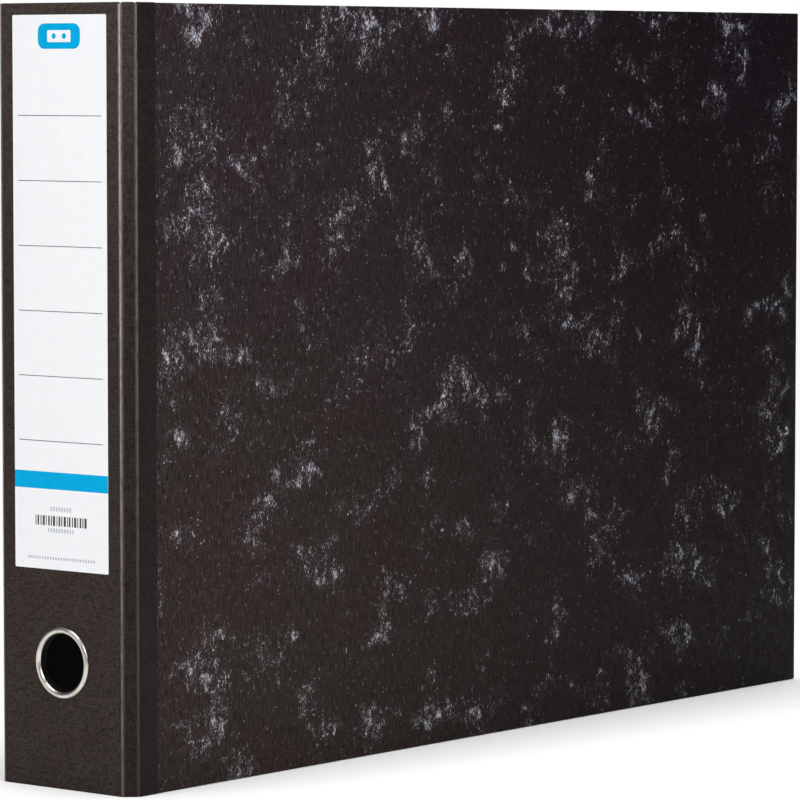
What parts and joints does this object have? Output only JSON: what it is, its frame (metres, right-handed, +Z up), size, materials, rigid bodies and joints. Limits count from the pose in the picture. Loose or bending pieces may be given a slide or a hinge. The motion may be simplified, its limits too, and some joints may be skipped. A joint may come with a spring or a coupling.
{
  "type": "lever arch file",
  "caption": "Lever arch file of oblong format: marbled board covers, dark spine with label and finger ring, folding creases, and a lever arch mechanism with posts and compressor bar.",
  "frame": {"origin": "middle of the case across and along its depth, at the surface that its bottom edges stand on", "axes": "+Z up along the spine, -Y out of the spine, +Y toward the covers' free edges, +X out of the front cover; the mechanism is on the back cover at -X"},
  "size_m": [0.0762, 0.4709, 0.318],
  "materials": {
    "greyboard": "matte",
    "marbled_paper": "satin",
    "spine_cloth": "satin",
    "lining_paper": "matte",
    "label_paper": "satin",
    "ring_nickel": "polished",
    "plate_steel": "satin",
    "post_steel": "polished",
    "wire_steel": "polished",
    "lever_steel": "satin",
    "spring_steel": "satin",
    "roller_plastic": "satin",
    "grip_plastic": "satin",
    "bar_plastic": "satin",
    "rivet_nickel": "polished"
  },
  "bodies": {
    "back_cover": {"back_board": "greyboard", "back_marbled_paper": "marbled_paper", "back_overlap_paper": "spine_cloth", "back_lining": "lining_paper", "base_plate": "plate_steel", "lower_post": "post_steel", "upper_post": "post_steel", "lever_pivot_pin": "post_steel", "leaf_spring_foot": "spring_steel", "mechanism_rivets": "rivet_nickel"},
    "back_hinge_strip": {"back_hinge_board": "greyboard", "back_hinge_paper": "spine_cloth", "back_hinge_lining": "lining_paper", "back_spine_crease": "spine_cloth", "back_cover_crease": "spine_cloth"},
    "spine": {"spine_board": "greyboard", "spine_paper": "spine_cloth", "spine_lining": "lining_paper", "spine_label": "label_paper", "finger_ring": "ring_nickel", "finger_ring_washer": "ring_nickel"},
    "front_hinge_strip": {"front_hinge_board": "greyboard", "front_hinge_paper": "spine_cloth", "front_hinge_lining": "lining_paper", "front_spine_crease": "spine_cloth", "front_cover_crease": "spine_cloth"},
    "front_cover": {"front_board": "greyboard", "front_marbled_paper": "marbled_paper", "front_overlap_paper": "spine_cloth", "front_lining": "lining_paper"},
    "arches": {"arch_wire": "wire_steel"},
    "lever": {"lever": "lever_steel", "roller_pin": "post_steel", "lever_grip": "grip_plastic"},
    "roller": {"lever_roller": "roller_plastic"},
    "leaf_spring": {"leaf_spring": "spring_steel"},
    "compressor": {"compressor_bar": "bar_plastic"}
  },
  "joints": [
    {"name": "back_spine_fold", "type": "hinge", "parent": "spine", "child": "back_hinge_strip", "pos_m": [-0.03213, -0.23387, 0.159], "axis": [0, 0, -1], "range_deg": [-45, 0]},
    {"name": "back_cover_fold", "type": "hinge", "parent": "back_hinge_strip", "child": "back_cover", "pos_m": [-0.0364, -0.2296, 0.159], "axis": [0, 0, -1], "range_deg": [-45, 0]},
    {"name": "front_spine_fold", "type": "hinge", "parent": "spine", "child": "front_hinge_strip", "pos_m": [0.03213, -0.23387, 0.159], "axis": [0, 0, -1], "range_deg": [0, 90]},
    {"name": "front_cover_fold", "type": "hinge", "parent": "front_hinge_strip", "child": "front_cover", "pos_m": [0.0364, -0.2296, 0.159], "axis": [0, 0, -1], "range_deg": [0, 90]},
    {"name": "lever_swing", "type": "hinge", "parent": "back_cover", "child": "lever", "pos_m": [-0.0283, -0.191, 0.159], "axis": [0, 0, 1], "range_deg": [0, 70]},
    {"name": "arch_swing", "type": "hinge", "parent": "back_cover", "child": "arches", "pos_m": [-0.0313, -0.2115, 0.159], "axis": [0, 0, -1], "range_deg": [0, 22]},
    {"name": "leaf_flex", "type": "hinge", "parent": "back_cover", "child": "leaf_spring", "pos_m": [-0.0338, -0.1895, 0.159], "axis": [0, 0, 1], "range_deg": [0, 18]},
    {"name": "roller_spin", "type": "hinge", "parent": "lever", "child": "roller", "pos_m": [-0.02652, -0.19785, 0.159], "axis": [0, 0, 1], "continuous": true},
    {"name": "compressor_slide", "type": "slide", "parent": "back_cover", "child": "compressor", "axis": [1, 0, 0], "range_m": [0, 0.035]}
  ],
  "couplings": [
    {"joint": "arch_swing", "follows": "lever_swing", "ratio": 0.31429},
    {"joint": "leaf_flex", "follows": "lever_swing", "ratio": 0.25714}
  ]
}
